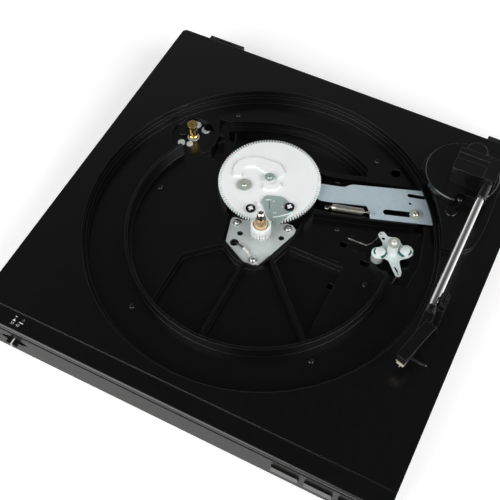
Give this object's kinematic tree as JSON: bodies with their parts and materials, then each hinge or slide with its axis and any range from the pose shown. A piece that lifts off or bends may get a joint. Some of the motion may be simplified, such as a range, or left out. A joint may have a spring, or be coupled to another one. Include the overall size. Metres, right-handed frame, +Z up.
{
  "type": "turntable",
  "caption": "Belt-drive automatic turntable with its platter lifted off: moulded deck with open cam gear, slide plate, motor pulley, spindle and straight tonearm.",
  "frame": {"origin": "centre of the machine's outline in plan, on the surface that its four feet stand on", "axes": "+Z up, -Y is the front with the selector and buttons, +X is the tonearm side"},
  "size_m": [0.36, 0.3632, 0.0904],
  "materials": {
    "deck_plastic": "fine satin black moulding",
    "tray_plastic": "coarse matt black moulding",
    "rubber": "matt black rubber",
    "fascia_plastic": "dark grey satin",
    "control_plastic": "semi-gloss black",
    "steel": "bright turned steel",
    "brass": "turned brass",
    "white_plastic": "white acetal",
    "zinc": "blue-grey zinc plate",
    "dull_zinc": "dull zinc plate",
    "cap_plastic": "black push-on ring",
    "wire_plastic": "black wire cover",
    "arm_plastic": "black moulding, low sheen",
    "chrome": "polished tube",
    "beige_plastic": "pale beige moulding",
    "dark_plastic": "matt black"
  },
  "bodies": {
    "base": {"top_deck": "deck_plastic", "base_tray": "tray_plastic", "foot_front_left": "rubber", "foot_front_right": "rubber", "foot_back_left": "rubber", "foot_back_right": "rubber", "front_fascia": "fascia_plastic", "hinge_socket_left": "tray_plastic", "hinge_socket_right": "tray_plastic", "motor": "steel", "motor_washer": "white_plastic", "gear_screw": "steel", "spindle": "steel", "bearing_plate": "zinc", "plate_screw_left": "steel", "plate_screw_right": "steel", "plate_screw_front": "steel", "ground_terminal": "steel", "ground_wire": "wire_plastic", "slide_washer": "zinc", "slide_screw": "steel", "return_spring": "steel", "lever_washer": "zinc", "lever_screw": "steel", "click_spring": "steel", "arm_base": "arm_plastic", "arm_rest": "arm_plastic", "adjust_cap": "dark_plastic"},
    "pulley": {"motor_pulley": "brass"},
    "cam": {"cam_gear": "white_plastic", "gear_side_washer": "zinc", "gear_side_screw": "steel", "gear_cap_left": "cap_plastic", "gear_cap_right": "cap_plastic"},
    "pawl": {"trip_pawl": "dull_zinc"},
    "platter_drive": {"pinion": "white_plastic", "spindle_bush": "brass"},
    "slide": {"slide_plate": "zinc"},
    "lever": {"cross_lever": "zinc", "lever_disc_left": "white_plastic", "lever_disc_right": "white_plastic", "lever_spacer": "white_plastic", "link_wire": "steel"},
    "arm_turret": {"arm_housing": "arm_plastic", "arm_ribbed_back": "arm_plastic"},
    "arm": {"arm_block": "arm_plastic", "arm_tube": "chrome", "headshell": "arm_plastic", "cartridge": "beige_plastic", "stylus": "beige_plastic", "finger_lift": "arm_plastic"},
    "clip": {"rest_clip": "arm_plastic"},
    "cue_pin": {"lift_pin": "arm_plastic"},
    "selector": {"speed_selector": "control_plastic"},
    "start": {"start_button": "control_plastic"},
    "stop": {"stop_button": "control_plastic"},
    "lift": {"lift_button": "control_plastic"}
  },
  "joints": [
    {"name": "pulley_spin", "type": "hinge", "parent": "base", "child": "pulley", "pos_m": [-0.11275, 0.07098, 0.04], "axis": [0, 0, 1], "continuous": true},
    {"name": "cam_spin", "type": "hinge", "parent": "base", "child": "cam", "pos_m": [-0.02461, 0.05132, 0.04], "axis": [0, 0, 1], "range_deg": [0, 325]},
    {"name": "pawl_tilt", "type": "hinge", "parent": "cam", "child": "pawl", "pos_m": [0.00419, 0.03161, 0.0434], "axis": [0, 0, 1], "range_deg": [-5, 5]},
    {"name": "pinion_spin", "type": "hinge", "parent": "base", "child": "platter_drive", "pos_m": [-0.0083, 0.0011, 0.045], "axis": [0, 0, 1], "range_deg": [-1825, 5]},
    {"name": "slide_travel", "type": "slide", "parent": "base", "child": "slide", "axis": [0.9455, 0.3256, 0], "range_m": [0, 0.022]},
    {"name": "lever_swing", "type": "hinge", "parent": "base", "child": "lever", "pos_m": [0.09868, 0.04282, 0.0365], "axis": [0, 0, 1], "range_deg": [-5, 5]},
    {"name": "arm_swing", "type": "hinge", "parent": "base", "child": "arm_turret", "pos_m": [0.12655, 0.12254, 0.06], "axis": [0, 0, 1], "range_deg": [-36, 0]},
    {"name": "arm_lift", "type": "hinge", "parent": "arm_turret", "child": "arm", "pos_m": [0.15, 0.12254, 0.0713], "axis": [-1, 0, 0], "range_deg": [0, 12]},
    {"name": "clip_close", "type": "hinge", "parent": "base", "child": "clip", "pos_m": [0.15655, -0.016, 0.0794], "axis": [0, -1, 0], "range_deg": [0, 85]},
    {"name": "pin_rise", "type": "slide", "parent": "base", "child": "cue_pin", "axis": [0, 0, 1], "range_m": [0, 0.004]},
    {"name": "selector_slide", "type": "slide", "parent": "base", "child": "selector", "axis": [1, 0, 0], "range_m": [-0.004, 0.004]},
    {"name": "start_press", "type": "slide", "parent": "base", "child": "start", "axis": [0, 1, 0], "range_m": [0, 0.0015], "stiffness_N_per_m": 400},
    {"name": "stop_press", "type": "slide", "parent": "base", "child": "stop", "axis": [0, 1, 0], "range_m": [0, 0.0015], "stiffness_N_per_m": 400},
    {"name": "lift_press", "type": "slide", "parent": "base", "child": "lift", "axis": [0, 1, 0], "range_m": [0, 0.0015], "stiffness_N_per_m": 400}
  ],
  "couplings": [
    {"joint": "pinion_spin", "follows": "cam_spin", "ratio": -5.6}
  ]
}
